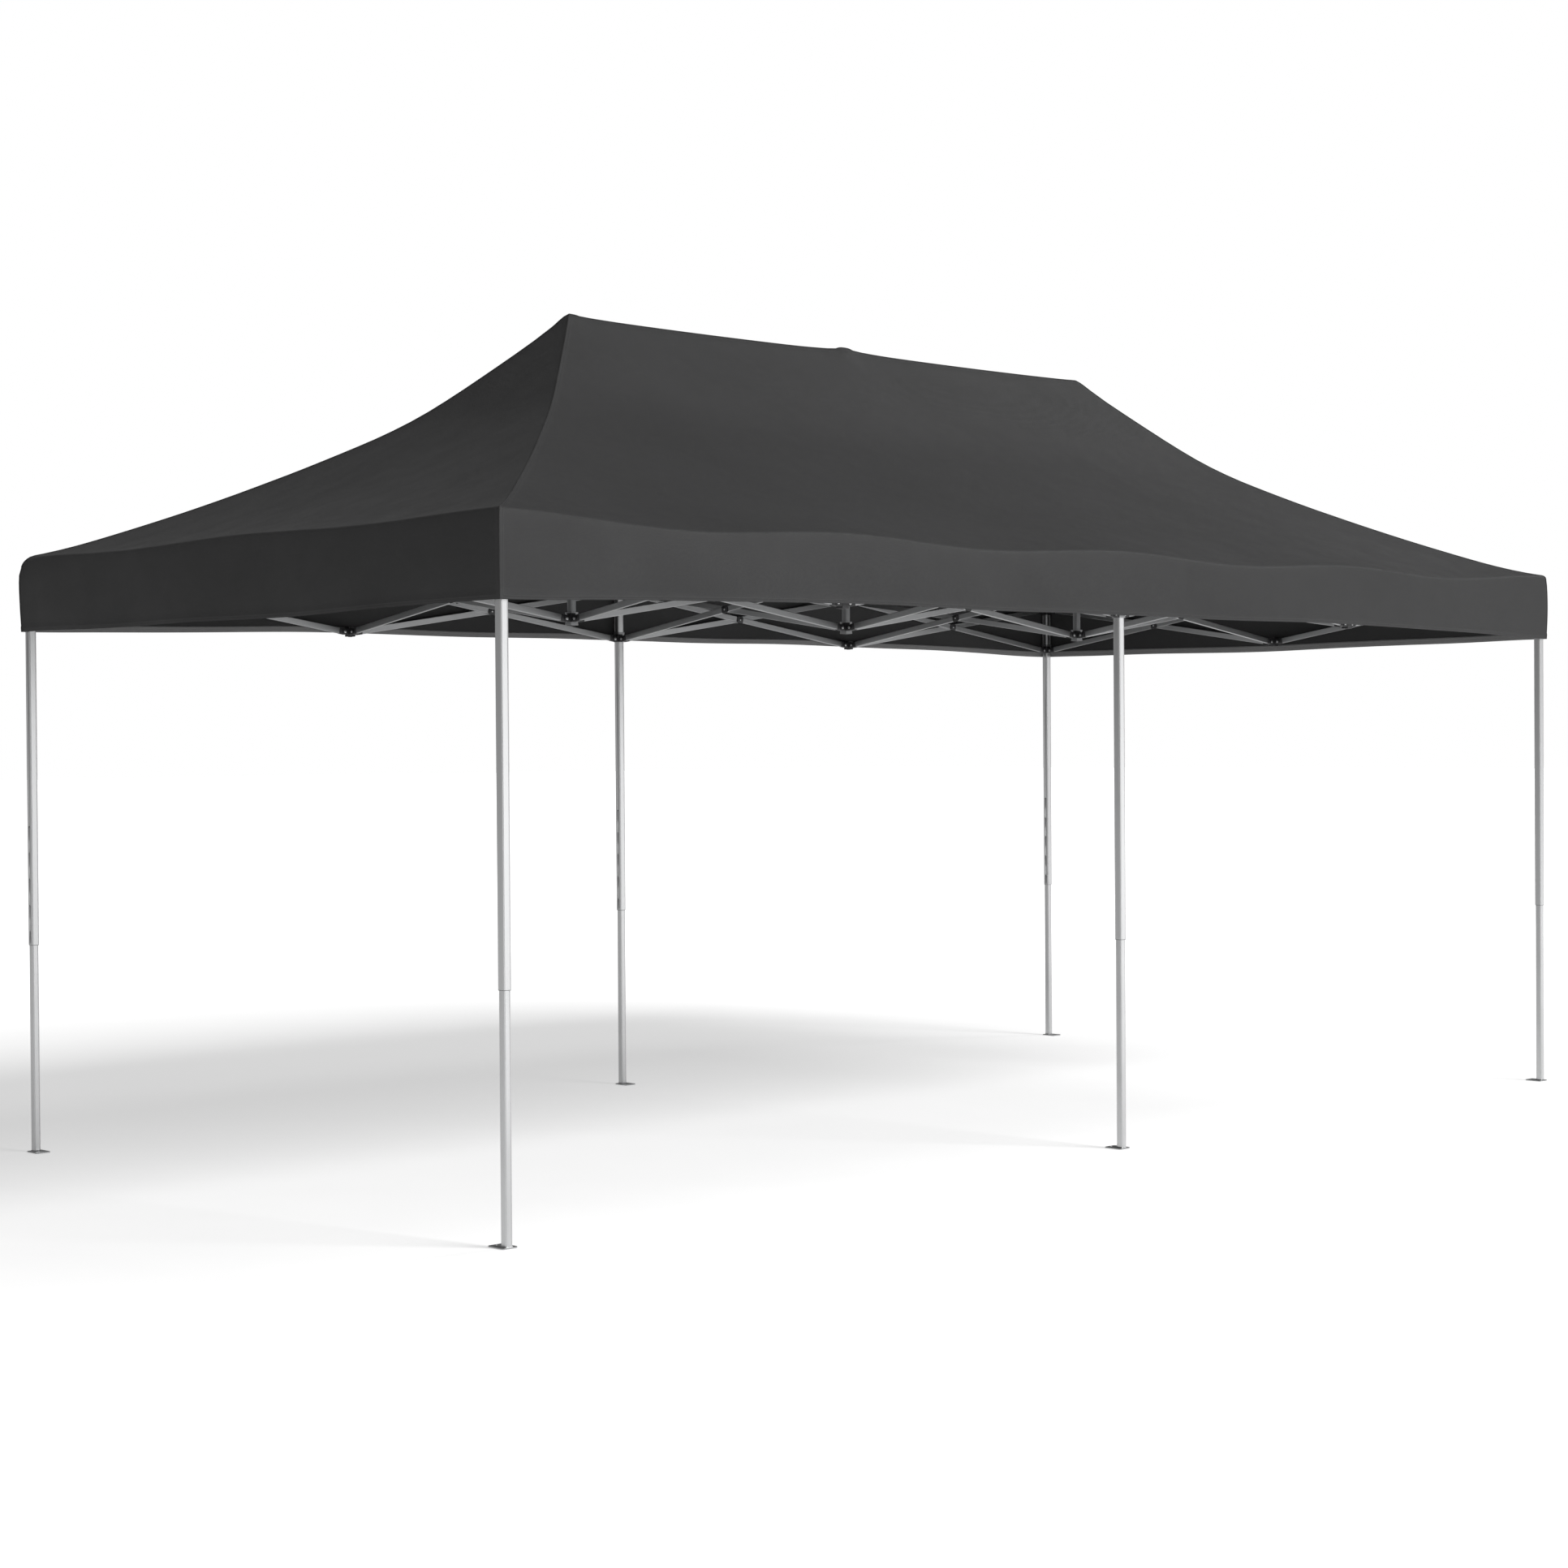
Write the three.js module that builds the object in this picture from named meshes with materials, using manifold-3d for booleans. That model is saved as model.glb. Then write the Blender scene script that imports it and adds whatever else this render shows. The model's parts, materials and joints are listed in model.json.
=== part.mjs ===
import * as THREE from "three";
import { mergeVertices } from "three/addons/utils/BufferGeometryUtils.js";
import Module from "manifold-3d";

// A six-legged folding canopy, set up. Millimetres, +Z up, floor at Z = 0, centred on its plan.
// The scissor grid has 5 columns along X (0 left to 4 right) and 3 rows along Y (0 front to 2 back).
const PITCH = 1460; // between neighbouring columns and rows
const COLUMNS = 5, ROWS = 3;
const PIVOT = 35; // from a node's axis to the bar pivots around it
const Z_TOP = 2225, Z_BOTTOM = 2015; // upper and lower bar pivots, set up

const BAR_DEEP = 25, BAR_THICK = 13, BAR_WALL = 1.3;
const BAR_OVERHANG = 9; // tube past each end pivot
const BAR_OFFSET = 7.2; // each bar's middle plane, from the line of its scissor
const PIN_R = 3.6, HOLE_R = 4.6; // corner radii of the six-sided pins and holes

const EAR_GAP = 0.5, EAR_THICK = 3.5, EAR_REACH = 47, EAR_HALF_HIGH = 11;
const BRACKET_HALF = 18, BRACKET_HALF_HIGH = 25;
const HUB_HALF = 16, HUB_HALF_HIGH = 20;

const OUTER_HALF = 15, INNER_HALF = 12.75, LEG_WALL = 1.5;
const OUTER_BOTTOM = 790, OUTER_TOP = 2240, INNER_TOP = 1250;
const FOOT_HALF_WIDE = 30, FOOT_OUT = 20, FOOT_IN = 60, FOOT_THICK = 4;
const SLIDER_HALF = 18.5, SLIDER_BORE = 15.5;
const SLIDER_DOWN = 14, SLIDER_UP = 31; // its ends, from its pivots

const MAST_HALF = 12.5, MAST_TOP = 3105;

const COVER_HALF_X = 2942, COVER_HALF_Y = 1482; // outside of the skirt
const COVER_HEM = 1990, COVER_EAVE = 2264, COVER_PEAK = 3152, COVER_THICK = 1.2;
// A slope of the roof from its eave to its ridge: shares of the way in, and of the roof's rise.
const SLOPE = [[0, 0], [0.15, 0.081], [0.3, 0.188], [0.45, 0.308], [0.6, 0.442], [0.73, 0.58], [0.86, 0.775], [1, 1]];
const RIDGE_SAG = 5; // how far the ridge hangs between two masts
const RIDGE_STEPS = 8;

const SPAN = PITCH - 2 * PIVOT;
const BAR_LENGTH = Math.hypot(SPAN, Z_TOP - Z_BOTTOM);
const TILT = Math.atan2(Z_TOP - Z_BOTTOM, SPAN);

const wasm = await Module();
wasm.setup();

const MATERIALS = {
  leg: { color: "#c9ccce", roughness: 0.35, metalness: 0.9 },
  bar: { color: "#bfc3c6", roughness: 0.4, metalness: 0.9 },
  slider: { color: "#17181a", roughness: 0.55, metalness: 0 },
  cover: { color: "#3d3e40", roughness: 0.85, metalness: 0 },
};

const root = new THREE.Group();

const columnX = (i) => (i - (COLUMNS - 1) / 2) * PITCH;
const rowY = (j) => (j - (ROWS - 1) / 2) * PITCH;

function addMesh(name, geometry, material) {
  const mesh = new THREE.Mesh(geometry, new THREE.MeshStandardMaterial(MATERIALS[material]));
  mesh.name = name;
  root.add(mesh);
  return mesh;
}

function toSolid(geometry) {
  const bare = geometry.clone();
  bare.deleteAttribute("normal");
  bare.deleteAttribute("uv");
  const merged = mergeVertices(bare, 1e-4);
  return new wasm.Manifold(new wasm.Mesh({
    numProp: 3,
    vertProperties: merged.attributes.position.array,
    triVerts: new Uint32Array(merged.index.array),
  }));
}

function toGeometry(solid) {
  const made = solid.getMesh();
  return new THREE.BufferGeometry()
    .setAttribute("position", new THREE.BufferAttribute(made.vertProperties, 3))
    .setIndex(new THREE.BufferAttribute(made.triVerts, 1));
}

const union = (solids) => solids.reduce((all, one) => all.add(one));

function box(x0, x1, y0, y1, z0, z1) {
  const made = new THREE.BoxGeometry(x1 - x0, y1 - y0, z1 - z0);
  return toSolid(made.translate((x0 + x1) / 2, (y0 + y1) / 2, (z0 + z1) / 2));
}

const post = (half, z0, z1) => box(-half, half, -half, half, z0, z1);

// A box given along and across an axis of the plan, "x" or "y".
function slab(axis, along, across, z0, z1) {
  const [[x0, x1], [y0, y1]] = axis === "x" ? [along, across] : [across, along];
  return box(x0, x1, y0, y1, z0, z1);
}

// A six-sided rod that lies across an axis of the plan, at one place along it.
function rod(axis, along, from, to, z, radius) {
  const made = new THREE.CylinderGeometry(radius, radius, to - from, 6);
  if (axis === "x") return toSolid(made.translate(along, (from + to) / 2, z));
  return toSolid(made.rotateZ(Math.PI / 2).translate((from + to) / 2, along, z));
}

// Two ears and the pin between them, which hold the end of one bar beside a node.
// At an upper node the bar that leaves towards + is a falling one, at a lower node a rising one.
function lug({ axis, sign }, level, start) {
  const z = level === "top" ? Z_TOP : Z_BOTTOM;
  const middle = (level === "top" ? -sign : sign) * BAR_OFFSET;
  const along = [sign * start, sign * EAR_REACH].sort((a, b) => a - b);
  const near = BAR_THICK / 2 + EAR_GAP, far = near + EAR_THICK;
  const ear = (from, to) =>
    slab(axis, along, [middle + from, middle + to], z - EAR_HALF_HIGH, z + EAR_HALF_HIGH);
  const pin = rod(axis, sign * PIVOT, middle - far + 1, middle + far - 1, z, PIN_R);
  return union([ear(-far, -near), ear(near, far), pin]);
}

// The directions in which bars leave the node at column i, row j.
function directions(i, j) {
  return [
    i < COLUMNS - 1 && { axis: "x", sign: 1 },
    i > 0 && { axis: "x", sign: -1 },
    j < ROWS - 1 && { axis: "y", sign: 1 },
    j > 0 && { axis: "y", sign: -1 },
  ].filter(Boolean);
}

const lugs = (i, j, level, start) => directions(i, j).map((d) => lug(d, level, start));

function outerLeg(i, j) {
  const cap = OUTER_TOP + 8;
  const bracket = post(BRACKET_HALF, Z_TOP - BRACKET_HALF_HIGH, cap);
  const bore = post(OUTER_HALF - LEG_WALL, OUTER_BOTTOM - 1, OUTER_TOP - 2);
  const tube = post(OUTER_HALF, OUTER_BOTTOM, OUTER_TOP);
  return union([tube, bracket, ...lugs(i, j, "top", BRACKET_HALF - 1)]).subtract(bore);
}

// The foot plate reaches further towards the inside of the canopy.
function innerLeg(j) {
  const inward = j === 0 ? 1 : -1;
  const reach = [-inward * FOOT_OUT, inward * FOOT_IN].sort((a, b) => a - b);
  const foot = box(-FOOT_HALF_WIDE, FOOT_HALF_WIDE, ...reach, 0, FOOT_THICK);
  const bore = post(INNER_HALF - LEG_WALL, FOOT_THICK, INNER_TOP + 1);
  return post(INNER_HALF, 1, INNER_TOP).subtract(bore).add(foot);
}

function slider(i, j) {
  const body = post(SLIDER_HALF, Z_BOTTOM - SLIDER_DOWN, Z_BOTTOM + SLIDER_UP);
  const bore = post(SLIDER_BORE, Z_BOTTOM - 2 * SLIDER_UP, Z_BOTTOM + 2 * SLIDER_UP);
  return union([body, ...lugs(i, j, "bottom", SLIDER_HALF - 1)]).subtract(bore);
}

// A mast stands in the lower hub of its node and holds the roof up.
function mast(i, j) {
  const foot = Z_BOTTOM - BRACKET_HALF_HIGH;
  const hub = post(BRACKET_HALF, foot, Z_BOTTOM + BRACKET_HALF_HIGH);
  const bore = post(MAST_HALF - LEG_WALL, foot - 1, MAST_TOP - 2);
  const tube = post(MAST_HALF, foot, MAST_TOP);
  return union([tube, hub, ...lugs(i, j, "bottom", BRACKET_HALF - 1)]).subtract(bore);
}

function connector(i, j) {
  const hub = post(HUB_HALF, Z_TOP - HUB_HALF_HIGH, Z_TOP + HUB_HALF_HIGH);
  return union([hub, ...lugs(i, j, "top", HUB_HALF - 1)]);
}

// A bar lies along +X from its first end pivot at the origin, pivots along Y.
function barTube(holes) {
  const [x0, x1] = [-BAR_OVERHANG, BAR_LENGTH + BAR_OVERHANG];
  const [y, z] = [BAR_THICK / 2, BAR_DEEP / 2];
  const outside = box(x0, x1, -y, y, -z, z);
  const bore = box(x0 - 1, x1 + 1, BAR_WALL - y, y - BAR_WALL, BAR_WALL - z, z - BAR_WALL);
  return holes.reduce(
    (tube, x) => tube.subtract(rod("x", x, -BAR_THICK, BAR_THICK, 0, HOLE_R)),
    outside.subtract(bore),
  );
}

const risingBar = () => barTube([0, BAR_LENGTH / 2, BAR_LENGTH]);

// The falling bar of a scissor carries its middle pin, which passes through the rising one.
function fallingBar(side) {
  const ends = [-side * (BAR_THICK / 2), side * (2 * BAR_OFFSET + BAR_THICK / 2 + 1.5)];
  const [from, to] = ends.sort((a, b) => a - b);
  return barTube([0, BAR_LENGTH]).add(rod("x", BAR_LENGTH / 2, from, to, 0, PIN_R));
}

// The pair of bars between a node and the next one along an axis.
function addScissor(axis, i, j, name) {
  const turn = axis === "x" ? 0 : Math.PI / 2;
  const [alongX, alongY] = axis === "x" ? [PIVOT, 0] : [0, PIVOT];
  const [acrossX, acrossY] = axis === "x" ? [0, BAR_OFFSET] : [BAR_OFFSET, 0];
  const place = (mesh, side, z, tilt) => {
    const x = columnX(i) + alongX + side * acrossX;
    const y = rowY(j) + alongY + side * acrossY;
    mesh.position.set(x, y, z);
    mesh.rotation.set(0, tilt, turn, "ZYX");
  };
  const falling = toGeometry(fallingBar(axis === "x" ? 1 : -1));
  place(addMesh(`${name}_falling`, falling, "bar"), -1, Z_TOP, TILT);
  place(addMesh(`${name}_rising`, toGeometry(risingBar()), "bar"), 1, Z_BOTTOM, -TILT);
}

// The share of the roof's rise at a share of the way from its eave to its ridge.
function slopeAt(up) {
  const next = Math.max(1, SLOPE.findIndex(([way]) => way >= up));
  const [[way0, rise0], [way1, rise1]] = [SLOPE[next - 1], SLOPE[next]];
  return rise0 + ((rise1 - rise0) * (up - way0)) / (way1 - way0);
}

// How high the roof stands over a point of the plan: its slopes, hips and ridge all hang a little.
function roofHeight(x, y) {
  const run = Math.min(COVER_HALF_X - Math.abs(x), COVER_HALF_Y - Math.abs(y));
  const up = THREE.MathUtils.clamp(run / COVER_HALF_Y, 0, 1);
  const slope = slopeAt(up);
  const between = Math.min(Math.abs(x) / PITCH, 1);
  const ridge = 4 * RIDGE_SAG * between * (1 - between) * up * up;
  return COVER_EAVE + (COVER_PEAK - COVER_EAVE) * slope - ridge;
}

// Steps along a half of the plan, from its middle to its edge, mirrored to both halves.
function coverLines(middleSteps, middleHalf, half) {
  const inner = Array.from({ length: middleSteps }, (_, n) => (middleHalf * n) / middleSteps);
  const outer = SLOPE.map(([way]) => middleHalf + (half - middleHalf) * (1 - way)).reverse();
  const positive = [...inner, ...outer];
  return [...positive.slice(1).reverse().map((v) => -v), ...positive];
}

// One skin of the cover: the roof's grid, then the ring of the hem below its rim.
function coverSkin(xs, ys, inset) {
  const sx = (COVER_HALF_X - inset) / COVER_HALF_X, sy = (COVER_HALF_Y - inset) / COVER_HALF_Y;
  const points = [];
  for (const y of ys)
    for (const x of xs) points.push([x * sx, y * sy, roofHeight(x, y) - inset]);
  const at = (i, j) => j * xs.length + i;
  const faces = [];
  for (let j = 0; j + 1 < ys.length; j++)
    for (let i = 0; i + 1 < xs.length; i++) {
      const [a, b, c, d] = [at(i, j), at(i + 1, j), at(i + 1, j + 1), at(i, j + 1)];
      const alongHip = (xs[i] + xs[i + 1]) * (ys[j] + ys[j + 1]) > 0;
      faces.push(...(alongHip ? [[a, b, c], [a, c, d]] : [[a, b, d], [b, c, d]]));
    }
  const [m, n] = [xs.length - 1, ys.length - 1];
  const rim = [
    ...xs.slice(0, -1).map((_, i) => at(i, 0)),
    ...ys.slice(0, -1).map((_, j) => at(m, j)),
    ...xs.slice(1).map((_, i) => at(m - i, n)),
    ...ys.slice(1).map((_, j) => at(0, n - j)),
  ];
  const hem = rim.map((k) => points.push([points[k][0], points[k][1], COVER_HEM]) - 1);
  rim.forEach((k, r) => {
    const next = (r + 1) % rim.length;
    faces.push([k, hem[r], hem[next]], [k, hem[next], rim[next]]);
  });
  return { points, faces, hem };
}

function cover() {
  const xs = coverLines(RIDGE_STEPS / 2, PITCH, COVER_HALF_X);
  const ys = coverLines(0, 0, COVER_HALF_Y);
  const outside = coverSkin(xs, ys, 0), inside = coverSkin(xs, ys, COVER_THICK);
  const shift = outside.points.length;
  const faces = [
    ...outside.faces,
    ...inside.faces.map(([a, b, c]) => [a + shift, c + shift, b + shift]),
  ];
  outside.hem.forEach((a, r) => {
    const b = outside.hem[(r + 1) % outside.hem.length];
    const [c, d] = [inside.hem[r] + shift, inside.hem[(r + 1) % inside.hem.length] + shift];
    faces.push([a, c, d], [a, d, b]);
  });
  return new THREE.BufferGeometry()
    .setAttribute("position",
      new THREE.Float32BufferAttribute([...outside.points, ...inside.points].flat(), 3))
    .setIndex(faces.flat());
}

function addNode(name, i, j, solid, material) {
  addMesh(name, toGeometry(solid), material).position.set(columnX(i), rowY(j), 0);
}

function addLegs() {
  const sides = [["left", 0], ["middle", 2], ["right", 4]];
  for (const [end, j] of [["front", 0], ["back", 2]])
    for (const [side, i] of sides) {
      addNode(`outer_leg_${end}_${side}`, i, j, outerLeg(i, j), "leg");
      addNode(`inner_leg_${end}_${side}`, i, j, innerLeg(j), "leg");
      addNode(`slider_${end}_${side}`, i, j, slider(i, j), "slider");
    }
}

function addScissors() {
  for (const [row, j] of [["front", 0], ["ridge", 1], ["back", 2]])
    for (let i = 0; i < COLUMNS - 1; i++) addScissor("x", i, j, `${row}_bar_${i + 1}`);
  for (const [column, i] of [["left", 0], ["cross", 2], ["right", 4]])
    for (let j = 0; j < ROWS - 1; j++) addScissor("y", i, j, `${column}_bar_${j + 1}`);
}

addLegs();
addScissors();
for (const [side, i] of [["left", 1], ["middle", 2], ["right", 3]])
  addNode(`mast_${side}`, i, 1, mast(i, 1), "leg");
for (const [side, i] of [["left", 0], ["right", 4]])
  addNode(`connector_${side}`, i, 1, connector(i, 1), "slider");
addMesh("cover", cover(), "cover");

export default root;
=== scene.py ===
"""Looks of a six-legged folding canopy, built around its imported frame. Metres, +Z up, floor at Z = 0."""
import json
import math

import bpy
import numpy as np
from mathutils import Matrix, Vector

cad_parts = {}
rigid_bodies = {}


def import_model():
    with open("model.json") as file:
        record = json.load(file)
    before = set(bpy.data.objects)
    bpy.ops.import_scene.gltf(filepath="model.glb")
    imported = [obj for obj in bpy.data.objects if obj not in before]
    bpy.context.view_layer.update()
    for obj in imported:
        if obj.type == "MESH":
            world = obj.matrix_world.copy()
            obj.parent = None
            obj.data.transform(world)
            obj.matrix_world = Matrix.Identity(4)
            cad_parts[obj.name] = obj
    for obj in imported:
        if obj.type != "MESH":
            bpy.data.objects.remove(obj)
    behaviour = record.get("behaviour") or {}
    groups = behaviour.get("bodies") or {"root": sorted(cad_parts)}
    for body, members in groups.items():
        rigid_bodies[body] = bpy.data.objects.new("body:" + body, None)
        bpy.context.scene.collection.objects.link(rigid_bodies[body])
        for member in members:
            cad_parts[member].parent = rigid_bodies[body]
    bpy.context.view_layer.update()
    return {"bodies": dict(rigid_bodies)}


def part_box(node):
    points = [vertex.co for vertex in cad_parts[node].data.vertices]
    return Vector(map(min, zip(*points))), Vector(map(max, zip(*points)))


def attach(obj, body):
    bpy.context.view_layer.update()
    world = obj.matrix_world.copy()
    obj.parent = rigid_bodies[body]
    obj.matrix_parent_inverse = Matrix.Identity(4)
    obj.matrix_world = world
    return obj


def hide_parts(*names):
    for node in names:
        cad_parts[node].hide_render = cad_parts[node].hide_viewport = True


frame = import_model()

# ---------------------------------------------------------------- the frame's dimensions
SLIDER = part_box("slider_front_left")
COVER_LOW, COVER_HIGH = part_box("cover")

PITCH = 1.46  # between neighbouring nodes of the scissor grid
PIVOT = 0.035  # from a node's axis to the bar pivots around it
SLIDER_DOWN = 0.014  # a slider's lower end, from its bar pivots
SCISSOR_RISE = 0.21  # from the lower pivots to the upper ones, set up
Z_LOW = SLIDER[0].z + SLIDER_DOWN
Z_HIGH = Z_LOW + SCISSOR_RISE
SPAN = PITCH - 2 * PIVOT
BAR_LENGTH = math.hypot(SPAN, Z_HIGH - Z_LOW)
TILT = math.atan2(Z_HIGH - Z_LOW, SPAN)
BAR_OFFSET = 0.0072  # each bar's middle plane, from the line of its scissor
COLUMNS = {"left": 0, "middle": 2, "right": 4}
ROWS = {"front": 0, "back": 2}


def node(i, j, z=0.0):
    """The axis of the node at column i, row j, at height z."""
    return Vector(((i - 2) * PITCH, (j - 1) * PITCH, z))


# ---------------------------------------------------------------- materials
def shader(name, **values):
    """A new material with a Principled shader whose sockets are set directly."""
    mat = bpy.data.materials.new(name)
    mat.use_nodes = True
    bsdf = mat.node_tree.nodes["Principled BSDF"]
    for key, value in values.items():
        bsdf.inputs[key.replace("_", " ")].default_value = value
    return mat, mat.node_tree, bsdf


def add(tree, kind, inputs=(), **settings):
    """A new shader node; inputs are (socket, value or output to link)."""
    made = tree.nodes.new(kind)
    for key, value in settings.items():
        setattr(made, key, value)
    for socket, value in inputs:
        if isinstance(value, bpy.types.NodeSocket):
            tree.links.new(value, made.inputs[socket])
        else:
            made.inputs[socket].default_value = value
    return made


def math_node(tree, operation, *values):
    return add(tree, "ShaderNodeMath", list(enumerate(values)), operation=operation).outputs[0]


def plus(tree, a, b):
    return math_node(tree, "ADD", a, b)


def times(tree, a, b):
    return math_node(tree, "MULTIPLY", a, b)


def ramp(tree, fac, stops):
    """A colour ramp; stops are (position, grey or colour)."""
    made = add(tree, "ShaderNodeValToRGB", [("Fac", fac)])
    elements = made.color_ramp.elements
    while len(elements) < len(stops):
        elements.new(0.5)
    for element, (position, value) in zip(elements, stops):
        element.position = position
        element.color = (*value, 1) if hasattr(value, "__len__") else (value, value, value, 1)
    return made.outputs["Color"]


def local_coordinates(tree):
    """Where a point was in its own part before the part was placed; parts are drawn out along Z."""
    return add(tree, "ShaderNodeAttribute", attribute_name="local").outputs["Vector"]


def stretched_noise(tree, vector, scale, detail=3.0, mapping=(1, 1, 1)):
    placed = add(tree, "ShaderNodeMapping", [("Vector", vector), ("Scale", mapping)])
    inputs = [("Vector", placed.outputs[0]), ("Scale", scale), ("Detail", detail)]
    return add(tree, "ShaderNodeTexNoise", inputs).outputs["Fac"]


def bump(tree, bsdf, height, strength, distance, below=None):
    inputs = [("Height", height), ("Strength", strength), ("Distance", distance)]
    if below is not None:
        inputs.append(("Normal", below))
    made = add(tree, "ShaderNodeBump", inputs)
    tree.links.new(made.outputs[0], bsdf.inputs["Normal"])
    return made.outputs[0]


def aluminium(name, base, rough):
    """Extruded tube: fine lines along its length, a faint cloud in the anodising, a few scuffs."""
    mat, tree, bsdf = shader(name, Metallic=1.0)
    local = local_coordinates(tree)
    lines = stretched_noise(tree, local, 1.0, 4.0, (900, 900, 6))
    cloud = stretched_noise(tree, local, 1.0, 3.0, (22, 22, 5))
    scuffs = stretched_noise(tree, local, 1.0, 2.0, (260, 260, 60))
    tone = plus(tree, times(tree, lines, 0.5), times(tree, cloud, 0.5))
    dark = tuple(c * 0.86 for c in base)
    tree.links.new(ramp(tree, tone, [(0.3, dark), (0.7, base)]), bsdf.inputs["Base Color"])
    scuffed = ramp(tree, scuffs, [(0.62, 0.0), (0.74, 1.0)])
    grey = plus(tree, times(tree, lines, 0.22), rough - 0.11)
    tree.links.new(plus(tree, grey, times(tree, scuffed, 0.1)), bsdf.inputs["Roughness"])
    bump(tree, bsdf, lines, 0.25, 0.0002)
    return mat


def plastic(name, base, rough, grain=1400.0):
    """Glass-filled nylon: a fine moulded grain, a little paler where it is rubbed."""
    mat, tree, bsdf = shader(name)
    local = local_coordinates(tree)
    fine = stretched_noise(tree, local, grain, 2.0)
    rubbed = stretched_noise(tree, local, 45.0, 4.0)
    pale = tuple(min(1.0, c * 1.9 + 0.012) for c in base)
    tree.links.new(ramp(tree, rubbed, [(0.45, base), (0.8, pale)]), bsdf.inputs["Base Color"])
    tree.links.new(plus(tree, times(tree, rubbed, 0.2), rough - 0.1),
                   bsdf.inputs["Roughness"])
    bump(tree, bsdf, fine, 0.3, 0.0003)
    return mat


def steel(name):
    """Zinc-plated bolts and plates: a mottled crystal, darker spots."""
    mat, tree, bsdf = shader(name, Metallic=1.0)
    local = local_coordinates(tree)
    cells = add(tree, "ShaderNodeTexVoronoi", [("Vector", local), ("Scale", 220.0)])
    spots = stretched_noise(tree, local, 70.0, 5.0)
    tone = plus(tree, times(tree, cells.outputs["Color"], 0.25), spots)
    colour = ramp(tree, tone, [(0.35, (0.33, 0.335, 0.34)), (0.8, (0.62, 0.625, 0.63))])
    tree.links.new(colour, bsdf.inputs["Base Color"])
    tree.links.new(plus(tree, times(tree, spots, 0.3), 0.22), bsdf.inputs["Roughness"])
    bump(tree, bsdf, spots, 0.2, 0.0004)
    return mat


THREADS = 2 * math.pi / 0.0011  # radians per metre: one thread every 1.1 mm
SWAY = 0.0012  # how far the threads wander
STITCH, SEAM_ROWS = 0.0045, (0.0045, 0.0125)  # length of a stitch, and its rows' distances from the seam


def cloth(name, base, rough, sheen, weave_depth, seams=True):
    """Coated plain weave: crossing threads, a faint cloud in the dye, stitched seams on the outside."""
    mat, tree, bsdf = shader(name, Sheen_Weight=sheen, Sheen_Roughness=0.5, Specular_IOR_Level=0.3)
    place = add(tree, "ShaderNodeTexCoord").outputs["Object"]
    sway = add(tree, "ShaderNodeTexNoise", [("Vector", place), ("Scale", 45.0), ("Detail", 2.0)])
    sway = add(tree, "ShaderNodeVectorMath", [(0, sway.outputs["Color"]), (1, (SWAY, SWAY, SWAY))],
               operation="MULTIPLY")
    swayed = add(tree, "ShaderNodeVectorMath", [(0, place), (1, sway.outputs[0])], operation="ADD").outputs[0]
    parts = add(tree, "ShaderNodeSeparateXYZ", [("Vector", swayed)]).outputs
    waves = [math_node(tree, "SINE", times(tree, axis, THREADS)) for axis in parts]
    threads = plus(tree, times(tree, waves[0], waves[1]),
                   times(tree, waves[2], plus(tree, waves[0], waves[1])))
    cloud = stretched_noise(tree, place, 1.6, 5.0)
    slub = stretched_noise(tree, place, 1.0, 3.0, (420, 60, 420))
    crease = stretched_noise(tree, place, 7.0, 6.0)
    tone = plus(tree, times(tree, cloud, 0.6), times(tree, slub, 0.4))
    dark, pale = tuple(c * 0.86 for c in base), tuple(c * 1.14 for c in base)
    colour = ramp(tree, tone, [(0.3, dark), (0.7, pale)])
    height = times(tree, threads, weave_depth)
    if seams:
        seam = add(tree, "ShaderNodeAttribute", attribute_name="seam").outputs["Fac"]
        along = plus(tree, parts[0], plus(tree, parts[1], parts[2]))
        dash = math_node(tree, "SINE", times(tree, along, 2 * math.pi / STITCH))
        rows = None
        for middle in SEAM_ROWS:
            apart = math_node(tree, "ABSOLUTE", math_node(tree, "SUBTRACT", seam, middle))
            row = ramp(tree, times(tree, apart, 400.0), [(0.2, 1.0), (0.5, 0.0)])
            rows = row if rows is None else plus(tree, rows, row)
        stitch = times(tree, rows, math_node(tree, "GREATER_THAN", dash, -0.35))
        welt = ramp(tree, times(tree, seam, 30.0), [(0.48, 1.0), (0.54, 0.0)])
        thread = (*[c * 1.9 for c in base], 1)
        mixed = add(tree, "ShaderNodeMix", [("Factor", stitch), ("A", colour), ("B", thread)],
                    data_type="RGBA")
        colour = mixed.outputs["Result"]
        height = plus(tree, height, plus(tree, times(tree, stitch, 1.6), times(tree, welt, 2.5)))
    tree.links.new(colour, bsdf.inputs["Base Color"])
    tree.links.new(plus(tree, times(tree, crease, 0.2), rough - 0.1),
                   bsdf.inputs["Roughness"])
    soft = add(tree, "ShaderNodeBump", [("Height", crease), ("Strength", 0.25), ("Distance", 0.004)])
    bump(tree, bsdf, height, 0.35, 0.0003, soft.outputs[0])
    return mat


LEG_METAL = aluminium("leg_aluminium", (0.70, 0.705, 0.71), 0.32)
# painted shade: the bars' aluminium gets a darker base than the legs' to stand in for the shade the cover
# casts on them
SHADED_BAR_METAL = aluminium("bar_aluminium_painted_shade", (0.43, 0.435, 0.44), 0.40)
# painted shade: the masts' aluminium is much darker than the legs' to stand in for the shade under the cover
SHADED_MAST_METAL = aluminium("mast_aluminium_painted_shade", (0.27, 0.275, 0.28), 0.38)
CAST_METAL = aluminium("cast_aluminium", (0.36, 0.365, 0.37), 0.52)
NYLON = plastic("black_nylon", (0.012, 0.012, 0.013), 0.5)
STEEL = steel("zinc_steel")
CLOTH = cloth("cover_cloth", (0.027, 0.027, 0.0275), 0.52, 0.02, 1.0)
COATING = cloth("cover_coating", (0.024, 0.024, 0.0245), 0.65, 0.0, 0.4, seams=False)
TAPE = cloth("hem_tape", (0.20, 0.20, 0.20), 0.8, 0.02, 1.0, seams=False)
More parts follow.
